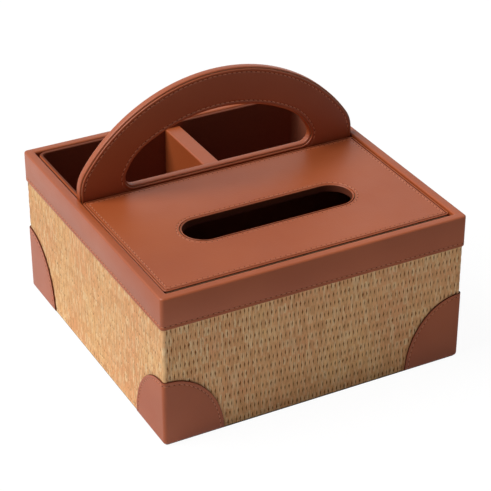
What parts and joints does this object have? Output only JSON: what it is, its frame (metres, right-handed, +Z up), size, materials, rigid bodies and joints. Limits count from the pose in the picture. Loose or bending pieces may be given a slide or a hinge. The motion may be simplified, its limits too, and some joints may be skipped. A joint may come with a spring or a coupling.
{
  "type": "tissue box caddy",
  "caption": "Square woven box with leather rim and corners: slotted lift-off lid over a tissue bay, arched carry handle, divided tray behind.",
  "frame": {"origin": "centre of the footprint, on the surface that the box stands on", "axes": "+X to the right along the front, +Y to the back, +Z up through the handle"},
  "size_m": [0.26, 0.26, 0.2128],
  "materials": {
    "tan_leather": "smooth tan cowhide with fine grain",
    "lining": "thin matt lining leather",
    "woven_straw": "plaited straw",
    "board": "plain fibreboard",
    "base_felt": "thin dark felt",
    "steel": "plain steel"
  },
  "bodies": {
    "box": {"base_board": "board", "base_pad": "base_felt", "front_wall": "board", "back_wall": "board", "left_wall": "board", "right_wall": "board", "woven_wrap": "woven_straw", "rim_band": "tan_leather", "corner_cap_front_left": "tan_leather", "corner_cap_front_right": "tan_leather", "corner_cap_back_left": "tan_leather", "corner_cap_back_right": "tan_leather", "handle_board": "board", "handle_edge_strip": "tan_leather", "handle_grip_strip": "tan_leather", "handle_front_leather": "tan_leather", "handle_back_leather": "tan_leather", "handle_screws": "steel", "tissue_bay_floor": "lining", "tissue_bay_lining": "lining", "lid_ledge_front": "board", "lid_ledge_rear": "board", "rear_tray": "tan_leather", "rear_tray_floor": "lining", "divider_board": "board", "divider_leather": "tan_leather"},
    "lid": {"lid_board": "board", "lid_under_lining": "lining", "lid_edge_binding": "tan_leather", "slot_binding": "tan_leather", "lid_top_leather": "tan_leather"}
  },
  "joints": [
    {"name": "lid_lift", "type": "slide", "parent": "box", "child": "lid", "axis": [0, 0, 1], "range_m": [0, 0.095]}
  ]
}
